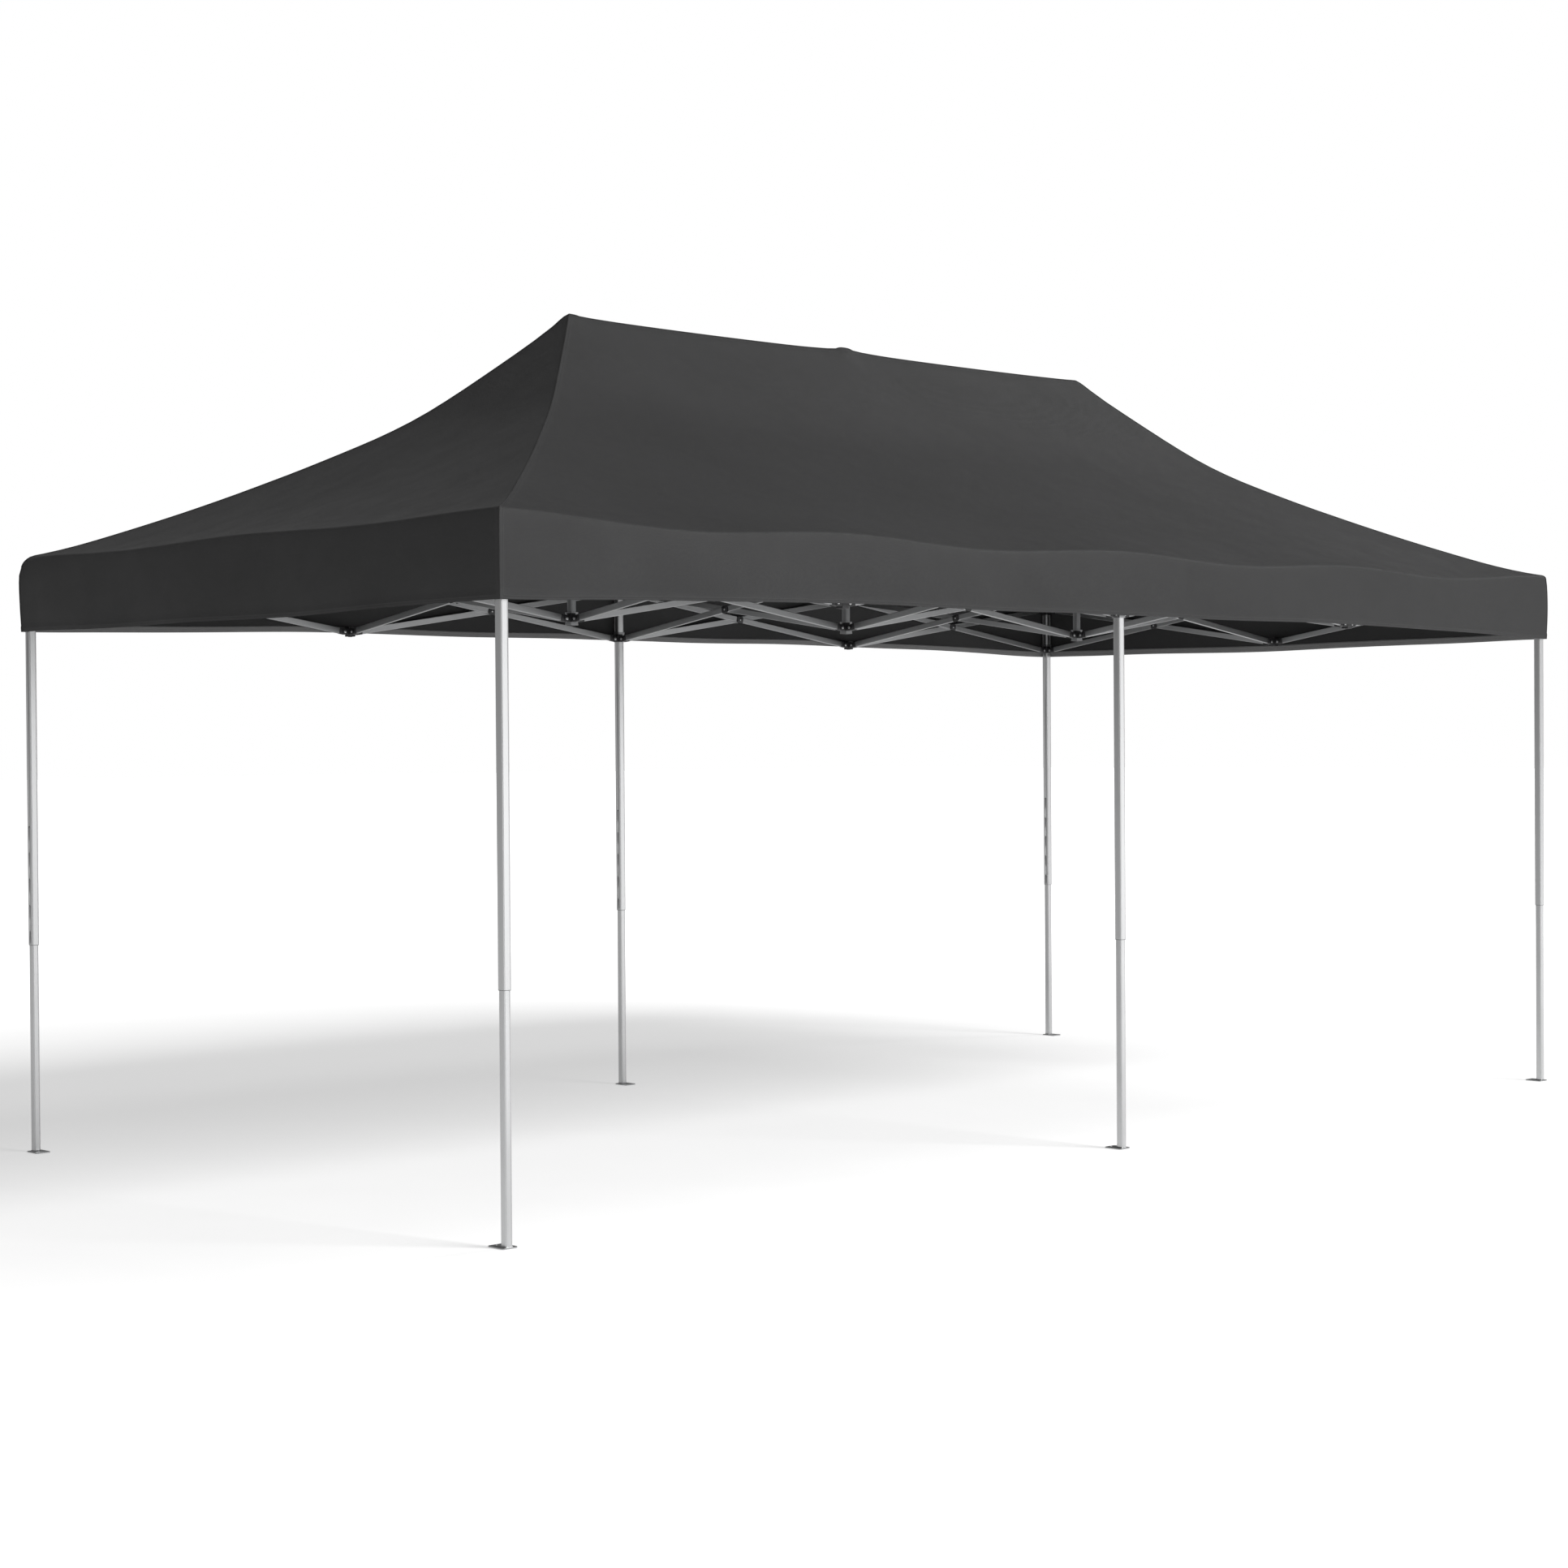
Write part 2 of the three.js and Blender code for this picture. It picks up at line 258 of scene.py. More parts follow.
# the bar and mast finishes are darker copies of the legs' aluminium: painted shade
FINISHES = {"leg": LEG_METAL, "bar": SHADED_BAR_METAL, "mast": SHADED_MAST_METAL, "cast": CAST_METAL, "nylon": NYLON,
            "steel": STEEL, "cloth": CLOTH}


# ---------------------------------------------------------------- mesh tools
FLAT_MARGIN = 0.0004  # a point this far inside each end of a flat side keeps its shading flat
SMOOTH_BELOW = math.radians(35)  # edges that turn more than this are shaded sharp


def link(obj):
    bpy.context.scene.collection.objects.link(obj)


def rounded(width, depth, radius, steps=3, grooves=(), groove=0.001):
    """A closed outline in XY, counter-clockwise, with rounded corners and thin grooves along its sides."""
    points = []
    sides = [((1, 0), (0, 1), width / 2, depth / 2), ((0, 1), (-1, 0), depth / 2, width / 2),
             ((-1, 0), (0, -1), width / 2, depth / 2), ((0, -1), (1, 0), depth / 2, width / 2)]
    for (ox, oy), (ax, ay), out, half in sides:
        flat = half - radius - FLAT_MARGIN
        points.append((out * ox - flat * ax, out * oy - flat * ay))
        for at in grooves:
            for along, deep in ((at - groove, 0), (at, groove), (at + groove, 0)):
                points.append(((out - deep) * ox + along * ax, (out - deep) * oy + along * ay))
        points.append((out * ox + flat * ax, out * oy + flat * ay))
        for k in range(steps + 1):
            turn = math.pi / 2 * k / steps
            o, a = out - radius + radius * math.cos(turn), half - radius + radius * math.sin(turn)
            points.append((o * ox + a * ax, o * oy + a * ay))
    return points


def circle(radius, count=20):
    return [(radius * math.cos(2 * math.pi * k / count), radius * math.sin(2 * math.pi * k / count))
            for k in range(count)]


def stadium(radius, length, steps=8):
    """A half disc about the origin that runs on as a strip to +X."""
    arc = [(-radius * math.sin(a), radius * math.cos(a))
           for a in (math.pi * k / steps for k in range(steps + 1))]
    return arc + [(length, -radius), (length, radius)]


def at_height(outline, z, grow=0.0):
    """An outline as a ring at one height, moved in or out from its own middle."""
    ring = []
    for x, y in outline:
        far = math.hypot(x, y) or 1.0
        ring.append((x + grow * x / far, y + grow * y / far, z))
    return ring


def loft(rings, closed=False):
    """Rings of equal length joined in turn: a closed loop of rings, or a solid capped at both ends."""
    count = len(rings[0])
    verts = [p for ring in rings for p in ring]
    faces = []
    for r in range(len(rings) - (0 if closed else 1)):
        a, b = r * count, (r + 1) % len(rings) * count
        faces += [[a + k, a + (k + 1) % count, b + (k + 1) % count, b + k] for k in range(count)]
    if not closed:
        faces += [list(range(count))[::-1], [len(verts) - count + k for k in range(count)]]
    return verts, faces


def block(outline, z0, z1, edge=0.001):
    """A moulded solid on an outline, its two rims rounded."""
    return loft([at_height(outline, z0, -edge), at_height(outline, z0 + edge * 0.3, -edge * 0.3),
                 at_height(outline, z0 + edge), at_height(outline, z1 - edge),
                 at_height(outline, z1 - edge * 0.3, -edge * 0.3), at_height(outline, z1, -edge)])


def tube(outer, inner, z0, z1, edge=0.0003):
    """An open tube between two outlines of equal length."""
    return loft([at_height(outer, z0, -edge), at_height(outer, z0 + edge), at_height(outer, z1 - edge),
                 at_height(outer, z1, -edge), at_height(inner, z1), at_height(inner, z0)], closed=True)


class Shape:
    """Collects the parts of one piece, with each part's material and its own coordinates."""

    def __init__(self):
        self.verts, self.local, self.faces, self.mats = [], [], [], []

    def put(self, made, mat, move=None):
        verts, faces = made
        base = len(self.verts)
        move = move or Matrix.Identity(4)
        self.local += [tuple(v) for v in verts]
        self.verts += [move @ Vector(v) for v in verts]
        self.faces += [[base + k for k in face] for face in faces]
        self.mats += [mat] * len(faces)
        return self

    def build(self, name, origin=Vector()):
        names = list(dict.fromkeys(self.mats))
        mesh = bpy.data.meshes.new(name)
        mesh.from_pydata([v - origin for v in self.verts], [], self.faces)
        for used in names:
            mesh.materials.append(FINISHES[used])
        mesh.polygons.foreach_set("material_index", [names.index(m) for m in self.mats])
        mesh.polygons.foreach_set("use_smooth", [True] * len(mesh.polygons))
        mesh.attributes.new("local", "FLOAT_VECTOR", "POINT").data.foreach_set(
            "vector", np.array(self.local, np.float32).ravel())
        mesh.set_sharp_from_angle(angle=SMOOTH_BELOW)
        obj = bpy.data.objects.new(name, mesh)
        obj.location = origin
        link(obj)
        return obj


def shift(x=0.0, y=0.0, z=0.0):
    return Matrix.Translation((x, y, z))


# Turns a part drawn out along Z so that it is drawn out along another axis.
ALONG_X = Matrix.Rotation(math.pi / 2, 4, "Y")
QUARTER = Matrix.Rotation(math.pi / 2, 4, "Z")


def finish_piece(obj, body, slot, *nodes):
    """Puts a piece on its body and hides the CAD nodes it stands for; its slot is not used."""
    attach(obj, body)
    if nodes:
        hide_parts(*nodes)
    return obj


def bake(obj):
    """Gives the object the mesh that its modifiers make, and clears them."""
    bpy.context.view_layer.update()
    made = bpy.data.meshes.new_from_object(obj.evaluated_get(bpy.context.evaluated_depsgraph_get()))
    obj.modifiers.clear()
    obj.data = made


def drill(obj, holes):
    """Cuts round holes; each is (centre, axis matrix, radius, half length)."""
    cutter = Shape()
    for centre, turn, radius, half in holes:
        cutter.put(loft([at_height(circle(radius, 24), -half), at_height(circle(radius, 24), half)]), "nylon",
                   Matrix.Translation(centre) @ turn)
    tool = cutter.build("cutter")
    cut = obj.modifiers.new("holes", "BOOLEAN")
    cut.operation, cut.solver, cut.object = "DIFFERENCE", "EXACT", tool
    bake(obj)
    bpy.data.objects.remove(tool)
    return obj


# ---------------------------------------------------------------- nodes of the frame
EAR_NEAR, EAR_FAR = 0.0070, 0.0105  # an ear's faces, from the bar's middle plane
EAR_RADIUS = 0.012
EAR_RIM = 0.0007
ON_SLEEVE, ON_BLOCK = 0.0165, 0.0145  # from a node's axis to its ears' near end: collars, solid hubs
PAD_HIGH, PAD_WIDE, PAD_THICK, PAD_UP = 0.0345, 0.023, 0.0033, 0.00375  # behind the ears, on the node
BOLT_HEAD, WASHER = 0.0046, 0.0062  # radii


def put_lug(shape, centre, axis, sign, level, start):
    """A pad and two ears with a bolt through them, holding one bar's end beside a node."""
    middle = (-sign if level == "high" else sign) * BAR_OFFSET
    outward = Matrix.Identity(4) if sign > 0 else Matrix.Rotation(math.pi, 4, "Z")
    turn = outward if axis == "x" else QUARTER @ outward
    # in the turned frame the bar leaves towards +X, and across is +Y or -Y of it
    side = middle * sign if axis == "x" else -middle * sign
    here = Matrix.Translation(centre) @ turn @ shift(PIVOT, side, 0)
    stand_up = Matrix.Rotation(math.pi / 2, 4, "X")  # a part drawn out along Z now runs along -Y
    flip = Matrix.Rotation(math.pi, 4, "Y")
    pad = block(rounded(PAD_HIGH, PAD_WIDE, 0.002), start - PIVOT, start + PAD_THICK - PIVOT, 0.0006)
    shape.put(pad, "nylon", here @ shift(z=PAD_UP) @ ALONG_X)
    for y0 in (-EAR_FAR, EAR_NEAR):
        ear = block(stadium(EAR_RADIUS, PIVOT - start), y0, y0 + EAR_FAR - EAR_NEAR, EAR_RIM)
        shape.put(ear, "nylon", here @ flip @ stand_up)
    for half in (1, -1):
        face = here @ Matrix.Rotation(-half * math.pi / 2, 4, "X")
        shape.put(block(circle(WASHER), EAR_FAR - 0.0002, EAR_FAR + 0.0007, 0.0003), "steel", face)
        shape.put(block(circle(BOLT_HEAD, 6), EAR_FAR + 0.0005, EAR_FAR + 0.0026, 0.0006), "steel", face)


def directions(i, j):
    """The ways in which bars leave the node at column i, row j."""
    return [("x", 1)] * (i < 4) + [("x", -1)] * (i > 0) + [("y", 1)] * (j < 2) + [("y", -1)] * (j > 0)


def put_lugs(shape, i, j, level, start):
    z = Z_HIGH if level == "high" else Z_LOW
    for axis, sign in directions(i, j):
        put_lug(shape, node(i, j, z), axis, sign, level, start)


def hub_outline(half):
    return rounded(2 * half, 2 * half, 0.003)


HUB_HALF = 0.018  # half the width of a bracket, hub or guide
BAND_HIGH, BAND_PROUD = 0.007, 0.0008


def put_sleeve(shape, i, j, low_end, top_end, half, bore, finish="cast"):
    """A collar around a square tube, with a raised band at each end."""
    here = Matrix.Translation(node(i, j))
    inner = rounded(2 * bore, 2 * bore, 0.0015)
    outline = hub_outline(half)
    shape.put(tube(outline, inner, low_end, top_end, 0.0012), finish, here)
    for low, top in ((low_end, low_end + BAND_HIGH), (top_end - BAND_HIGH, top_end)):
        shape.put(tube(hub_outline(half + BAND_PROUD), inner, low, top, 0.0006), finish, here)


LEG_OUT, LEG_IN = 0.030, 0.0255  # sides of the two square tubes
LEG_BORE, INNER_BORE = 0.0272, 0.0226
MAST_OUT, MAST_BORE = 0.025, 0.022
LEG_GROOVES, INNER_GROOVES, MAST_GROOVES = (-0.0107, 0.0107), (-0.0089, 0.0089), (-0.007, 0.007)
NO_GROOVE = 0.00001  # depth that gives a bore as many points as its grooved outline
HOLES, HOLE_LOW, HOLE_STEP = 5, 0.84, 0.1
HOLE_RADIUS, HOLE_DEPTH = 0.0042, 0.006
BUTTON_Z = HOLE_LOW + 2 * HOLE_STEP
# the weld's section: heights, and how far it stands out from the tube
WELD = ((0.0038, 0.0), (0.0038, 0.0034), (0.0052, 0.0024), (0.0066, 0.0002), (0.0066, 0.0))
FOOT_WIDE, FOOT_LONG, FOOT_THICK, FOOT_IN = 0.06, 0.08, 0.004, 0.02


def make_leg(end, side):
    i, j = COLUMNS[side], ROWS[end]
    name = f"{end}_{side}"
    low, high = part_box(f"outer_leg_{name}")
    here = Matrix.Translation(node(i, j))
    outer = rounded(LEG_OUT, LEG_OUT, 0.0026, grooves=LEG_GROOVES)
    bore = rounded(LEG_BORE, LEG_BORE, 0.0015, grooves=LEG_GROOVES, groove=NO_GROOVE)
    leg = Shape().put(tube(outer, bore, low.z, high.z - 0.01), "leg", here).build(f"leg_tube_{name}")
    face = 1 if end == "front" else -1
    holes = [(node(i, j, HOLE_LOW + HOLE_STEP * k) + Vector((face * LEG_OUT / 2, 0, 0)), ALONG_X, HOLE_RADIUS,
              HOLE_DEPTH) for k in range(HOLES)]
    drill(leg, holes)
    finish_piece(leg, f"leg_{name}", "leg", f"outer_leg_{name}")

    top = Shape()
    put_sleeve(top, i, j, Z_HIGH - 0.0245, Z_HIGH + 0.0225, HUB_HALF, LEG_OUT / 2 + 0.0002, "nylon")
    top.put(block(rounded(0.034, 0.034, 0.004), high.z - 0.006, high.z, 0.0015), "nylon", here)
    put_lugs(top, i, j, "high", ON_SLEEVE)
    finish_piece(top.build(f"top_bracket_{name}"), f"leg_{name}", "plastic")

    bush = Shape().put(tube(rounded(0.0296, 0.0296, 0.0026), rounded(0.0259, 0.0259, 0.002),
                            low.z - 0.0012, low.z + 0.0001), "nylon", here)
    finish_piece(bush.build(f"leg_bush_{name}"), f"leg_{name}", "plastic")

    inner = Shape()
    low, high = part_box(f"inner_leg_{name}")
    shape = rounded(LEG_IN, LEG_IN, 0.0022, grooves=INNER_GROOVES)
    hollow = rounded(INNER_BORE, INNER_BORE, 0.0012, grooves=INNER_GROOVES, groove=NO_GROOVE)
    inner.put(tube(shape, hollow, 0.0035, high.z), "leg", here)
    inner.put(block(rounded(0.0268, 0.0268, 0.002), high.z - 0.012, high.z + 0.002), "nylon", here)
    for sign in (1, -1):
        inner.put(block(circle(0.0036), 0, 0.0009, 0.0004), "steel",
                  Matrix.Translation(node(i, j, BUTTON_Z) + Vector((sign * (LEG_IN / 2 - 0.0002), 0, 0)))
                  @ Matrix.Rotation(sign * math.pi / 2, 4, "Y"))
    finish_piece(inner.build(f"inner_tube_{name}"), f"inner_leg_{name}", "leg", f"inner_leg_{name}")

    inward = 1 if end == "front" else -1
    middle = node(i, j) + Vector((0, inward * FOOT_IN, 0))
    foot = Shape()
    flat = block(rounded(FOOT_WIDE, FOOT_LONG, 0.009, 5), 0.0, FOOT_THICK, 0.0008)
    foot.put(flat, "steel", Matrix.Translation(middle))
    plate = foot.build(f"foot_plate_{name}")
    drill(plate, [(middle + Vector((0, inward * 0.026, 0.002)), Matrix.Identity(4), 0.0055, 0.01)])
    weld = Shape()
    bead = [at_height(rounded(LEG_IN, LEG_IN, 0.0022), z, grow) for z, grow in WELD]
    weld.put(loft(bead), "steel", here)
    finish_piece(plate, f"inner_leg_{name}", "leg")
    finish_piece(weld.build(f"foot_weld_{name}"), f"inner_leg_{name}", "leg")


def make_slider(end, side):
    i, j = COLUMNS[side], ROWS[end]
    name = f"slider_{end}_{side}"
    shape = Shape()
    put_sleeve(shape, i, j, SLIDER[0].z, SLIDER[1].z, 0.0177, 0.0155)
    put_lugs(shape, i, j, "low", ON_SLEEVE)
    outward = -1 if end == "front" else 1
    face = Matrix.Translation(node(i, j, Z_LOW + 0.012) + Vector((0, outward * 0.0177, 0)))
    face = face @ Matrix.Rotation(-outward * math.pi / 2, 4, "X")
    shape.put(block(circle(0.0085, 28), -0.001, 0.0009, 0.0004), "nylon", face)
    shape.put(block(circle(0.0058, 24), 0.0, 0.0016, 0.0006), "steel", face)
    finish_piece(shape.build(f"lock_{name}"), name, "plastic", name)


def make_mast(side):
    i = {"left": 1, "middle": 2, "right": 3}[side]
    name = f"mast_{side}"
    low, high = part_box(name)
    here = Matrix.Translation(node(i, 1))
    shape = Shape()
    outer = rounded(MAST_OUT, MAST_OUT, 0.0022, grooves=MAST_GROOVES)
    inner = rounded(MAST_BORE, MAST_BORE, 0.0012, grooves=MAST_GROOVES, groove=NO_GROOVE)
    shape.put(tube(outer, inner, low.z, high.z - 0.008), "mast", here)
    finish_piece(shape.build(f"mast_tube_{side}"), name, "leg", name)
    hub = Shape()
    put_sleeve(hub, i, 1, Z_LOW - 0.025, Z_LOW + 0.025, HUB_HALF, 0.0126)
    put_lugs(hub, i, 1, "low", ON_SLEEVE)
    hub.put(block(rounded(0.028, 0.028, 0.003), low.z - 0.002, low.z + 0.004), "nylon", here)
    knob, shoulder = rounded(0.029, 0.029, 0.004), high.z - 0.004
    rings = [at_height(rounded(0.0272, 0.0272, 0.003), high.z - 0.03),
             at_height(knob, high.z - 0.027), at_height(knob, shoulder)]
    rings += [at_height(knob, shoulder + 0.016 * math.sin(a), -0.0135 * (1 - math.cos(a)))
              for a in (0.3, 0.6, 0.9, 1.2, 1.45)]
    hub.put(loft(rings), "nylon", here)
    finish_piece(hub.build(f"mast_fittings_{side}"), name, "plastic")


def put_connector(shape, i, j, level):
    """A solid moulded hub with lugs, where bars meet with no leg or mast."""
    z = Z_HIGH if level == "high" else Z_LOW
    here = Matrix.Translation(node(i, j))
    shape.put(block(hub_outline(0.0155), z - 0.02, z + 0.02, 0.0018), "nylon", here)
    for low in (-0.0195, 0.0135):
        band = tube(hub_outline(0.0162), hub_outline(0.0150), z + low, z + low + 0.006, 0.0005)
        shape.put(band, "nylon", here)
    for up in (1, -1):
        flip = Matrix.Identity(4) if up > 0 else Matrix.Rotation(math.pi, 4, "X")
        shape.put(block(circle(0.009, 28), 0.0195, 0.0215, 0.0008), "nylon", here @ shift(z=z) @ flip)
    put_lugs(shape, i, j, level, ON_BLOCK)


# ---------------------------------------------------------------- bars
BAR_DEEP, BAR_THICK = 0.025, 0.013
BAR_BORE_DEEP, BAR_BORE_THICK = 0.0224, 0.0104
PLATE_LONG, PLATE_HIGH, PLATE_THICK = 0.036, 0.031, 0.0036  # at a crossing, on the bar's face
BAR_FACE = 0.0066  # where a plate sits, from the bar's middle plane


def put_bar(shape, move):
    """A rectangular tube along X from its first end pivot, with a moulded end over each cut."""
    profile = rounded(BAR_DEEP, BAR_THICK, 0.0016)  # drawn out along Z, so X of it becomes Z of the bar
    hollow = rounded(BAR_BORE_DEEP, BAR_BORE_THICK, 0.0008)
    lie = Matrix.Rotation(math.pi / 2, 4, "Y")
    shape.put(tube(profile, hollow, -0.003, BAR_LENGTH + 0.003), "bar", move @ lie)
    up = Matrix.Rotation(math.pi / 2, 4, "X")
    for x, turn in ((0.0, Matrix.Identity(4)), (BAR_LENGTH, Matrix.Rotation(math.pi, 4, "Z"))):
        end = block(stadium(0.0131, 0.024), -0.0067, 0.0067, 0.0012)
        shape.put(end, "nylon", move @ shift(x) @ turn @ up)
        collar = block(rounded(0.0262, 0.0134, 0.0018), 0.023, 0.027, 0.0006)
        shape.put(collar, "nylon", move @ shift(x) @ turn @ lie)


def put_crossing(shape, move, side):
    """The moulded spacer between two crossing bars, its bolt and the washers."""
    here = move @ shift(BAR_LENGTH / 2)
    up = Matrix.Rotation(-side * math.pi / 2, 4, "X")
    shape.put(block(circle(0.0115, 28), 0.0064, 0.0080, 0.0002), "nylon", here @ up)
    plate = rounded(PLATE_LONG, PLATE_HIGH, 0.005)
    shape.put(block(plate, -0.0102, -BAR_FACE, 0.0012), "nylon", here @ up)
    shape.put(block(circle(BOLT_HEAD, 6), -0.0118, -0.0098, 0.0007), "steel", here @ up)
    far = 2 * BAR_OFFSET + BAR_FACE
    shape.put(block(plate, far, far + PLATE_THICK, 0.0012), "nylon", here @ up)
    shape.put(block(circle(BOLT_HEAD, 6), far + 0.0032, far + 0.0052, 0.0007), "steel", here @ up)


def bar_place(axis, i, j, falling):
    """Where a bar's first end pivot is, with the turn and tilt that lay it along its scissor."""
    turn = Matrix.Identity(4) if axis == "x" else QUARTER
    side = -1 if falling else 1
    along, across = (Vector((PIVOT, 0, 0)), Vector((0, side * BAR_OFFSET, 0)))
    if axis == "y":
        along, across = Vector((0, PIVOT, 0)), Vector((side * BAR_OFFSET, 0, 0))
    start = node(i, j, Z_HIGH if falling else Z_LOW) + along + across
    tilt = Matrix.Rotation(TILT if falling else -TILT, 4, "Y")
    return Matrix.Translation(start) @ turn @ tilt


def bar_shape(axis, i, j, falling):
    shape, move = Shape(), bar_place(axis, i, j, falling)
    put_bar(shape, move)
    if falling:
        put_crossing(shape, move, 1 if axis == "x" else -1)
    return shape


def make_cad_bars():
    lines = [("x", row, j) for row, j in (("front", 0), ("ridge", 1), ("back", 2))]
    lines += [("y", column, i) for column, i in (("left", 0), ("cross", 2), ("right", 4))]
    for axis, line, fixed in lines:
        for unit in range(4 if axis == "x" else 2):
            i, j = (unit, fixed) if axis == "x" else (fixed, unit)
            for kind in ("falling", "rising"):
                name = f"{line}_bar_{unit + 1}_{kind}"
                obj = bar_shape(axis, i, j, kind == "falling").build(f"tube_{name}")
                finish_piece(obj, name, "bar", name)


def keep_upright(obj):
    """The piece follows its bar's end but never tilts."""
    limit = obj.constraints.new("LIMIT_ROTATION")
    limit.use_limit_x = limit.use_limit_y = limit.use_limit_z = True
    limit.owner_space = "WORLD"


def turn_like(obj, body):
    """The piece takes the turn of a bar that runs parallel to it."""
    copy = obj.constraints.new("COPY_ROTATION")
    copy.target = frame["bodies"][body]


def end_pivot(axis, i, j, level, sign):
    step = Vector((sign * PIVOT, 0, 0)) if axis == "x" else Vector((0, sign * PIVOT, 0))
    return node(i, j, Z_HIGH if level == "high" else Z_LOW) + step


def make_connectors():
    """Hubs that no CAD node stands for hang on one bar's end; two are CAD nodes of their own."""
    for side, i in (("left", 0), ("right", 4)):
        shape = Shape()
        put_connector(shape, i, 1, "high")
        name = f"connector_{side}"
        finish_piece(shape.build(f"connector_top_{side}"), name, "plastic", name)
    hung = []
    for line, j in (("front", 0), ("back", 2)):
        hung += [(1, j, "high", f"{line}_bar_1_rising", "x", -1),
                 (3, j, "high", f"{line}_bar_4_falling", "x", 1),
                 (1, j, "low", f"{line}_bar_1_falling", "x", -1),
                 (3, j, "low", f"{line}_bar_4_rising", "x", 1)]
    hung += [(0, 1, "low", "left_bar_1_falling", "y", -1), (4, 1, "low", "right_bar_1_falling", "y", -1)]
    for i, j, level, body, axis, sign in hung:
        shape = Shape()
        put_connector(shape, i, j, level)
        obj = shape.build(f"connector_{level}_{i}_{j}", end_pivot(axis, i, j, level, sign))
        finish_piece(obj, body, "plastic")
        keep_upright(obj)
    for i in (1, 2, 3):
        shape = Shape()
        put_sleeve(shape, i, 1, Z_HIGH - 0.025, Z_HIGH + 0.025, HUB_HALF, 0.0131)
        put_lugs(shape, i, 1, "high", ON_SLEEVE)
        obj = shape.build(f"mast_guide_{i}", end_pivot("x", i, 1, "high", -1))
        finish_piece(obj, f"ridge_bar_{i}_rising", "plastic")
        keep_upright(obj)


def make_side_cross_lines():
    """The two cross lines under the side masts, which the CAD leaves out."""
    for side, i in (("left", 1), ("right", 3)):
        for j, kind in ((0, "falling"), (1, "rising")):
            mate = "rising" if kind == "falling" else "falling"
            first = bar_shape("y", i, j, kind == "falling")
            pivot = end_pivot("y", i, 1, "low", -1 if j == 0 else 1)
            obj = first.build(f"tube_{side}_cross_{j + 1}_{kind}", pivot)
            finish_piece(obj, f"mast_{side}", "bar")
            turn_like(obj, f"cross_bar_{j + 1}_{kind}")
            middle = node(i, j, (Z_LOW + Z_HIGH) / 2) + Vector((0, PITCH / 2, 0))
            other = bar_shape("y", i, j, mate == "falling").build(f"tube_{side}_cross_{j + 1}_{mate}", middle)
            bpy.context.view_layer.update()
            other.parent = obj
            other.matrix_parent_inverse = obj.matrix_world.inverted()
            turn_like(other, f"cross_bar_{j + 1}_{mate}")


# ---------------------------------------------------------------- cover
COVER_X, COVER_Y = COVER_HIGH.x + 0.001, COVER_HIGH.y + 0.001
HEM = COVER_LOW.z
EAVE = 2.264
PEAK = COVER_HIGH.z
FOLD_RADIUS = 0.012  # of the bend between roof and skirt


# A slope of the roof at even steps from its eave to its ridge, as shares of the roof's rise.
RISE = (0, 0.019, 0.047, 0.080, 0.115, 0.151, 0.188, 0.227, 0.267, 0.309, 0.351, 0.396, 0.442, 0.490,
        0.544, 0.608, 0.681, 0.758, 0.836, 0.916, 1.0)
WAY = np.linspace(0, 1, len(RISE))


PEAK_LIFT = 0.006  # the cloth over the CAD's ridge
RIDGE_SAG, PANEL_SAG = 0.005, 0.018
MAST_LIFTS = ((1, 0.005), (2, 0.009), (3, 0.001))  # column, and how far its tip pushes the cloth up


def roof_height(x, y):
    """Height of the cloth over a point of the plan, before the bend at its edge (arrays)."""
    run = np.minimum(COVER_X - np.abs(x), COVER_Y - np.abs(y))
    up = np.clip(run / COVER_Y, 0, 1)
    fine = np.linspace(0, 1, 401)
    window = np.hanning(23)
    longer = np.interp(np.linspace(-0.05, 1.05, 441), WAY, RISE)  # 20 steps past each end
    smooth = np.convolve(longer, window / window.sum(), "same")[20:421]
    smooth = smooth + np.interp(fine, [0, 0.05, 0.95, 1], [RISE[0] - smooth[0], 0, 0, RISE[-1] - smooth[-1]])
    slope = np.interp(up, fine, smooth)
    between = np.clip(np.abs(x) / PITCH, 0, 1)
    z = EAVE + (PEAK + PEAK_LIFT - EAVE) * slope - 4 * RIDGE_SAG * between * (1 - between) * up**2
    # the panels hang a little more than the sewn hips do
    gap = np.abs((COVER_X - np.abs(x)) - (COVER_Y - np.abs(y)))
    z -= PANEL_SAG * np.sin(np.pi * up) * (1 - np.exp(-gap / 0.35))
    for i, lift in MAST_LIFTS:
        far = np.hypot(x - (i - 2) * PITCH, y)
        z += lift * np.exp(-((far / 0.045) ** 4)) + 0.6 * lift * np.exp(-((far / 0.16) ** 2))
    z -= eave_dip(x, y) * np.exp(-run / 0.2)
    return z


LONG_SIDE_DIP, SHORT_SIDE_DIP = 0.028, 0.012  # of the eave, half way between nodes
NODE_DIP = 0.012  # of the eave at nodes away from the corners


def eave_dip(x, y):
    """How far the edge of the roof hangs between the nodes that hold it up."""
    u, v = np.clip(np.abs(x) / PITCH, 0, 2), np.clip(np.abs(y) / PITCH, 0, 1)
    front = COVER_X - np.abs(x) > COVER_Y - np.abs(y)
    along = np.where(front, np.mod(u, 1.0), v)
    dip = np.where(front, LONG_SIDE_DIP, SHORT_SIDE_DIP) * np.sin(np.pi * along) ** 2
    return dip + np.where(front, NODE_DIP * np.clip((2 - u) / 0.6, 0, 1), 0)


def wander(x, y, seed, scale):
    """A smooth wandering height from a few sine waves, the same on every run."""
    random = np.random.RandomState(seed)
    total = np.zeros_like(x)
    for _ in range(6):
        angle, phase = random.uniform(0, 2 * np.pi), random.uniform(0, 2 * np.pi)
        k = 2 * np.pi / (scale * random.uniform(0.7, 1.5))
        total += np.sin(k * (x * np.cos(angle) + y * np.sin(angle)) + phase)
    return total / 6


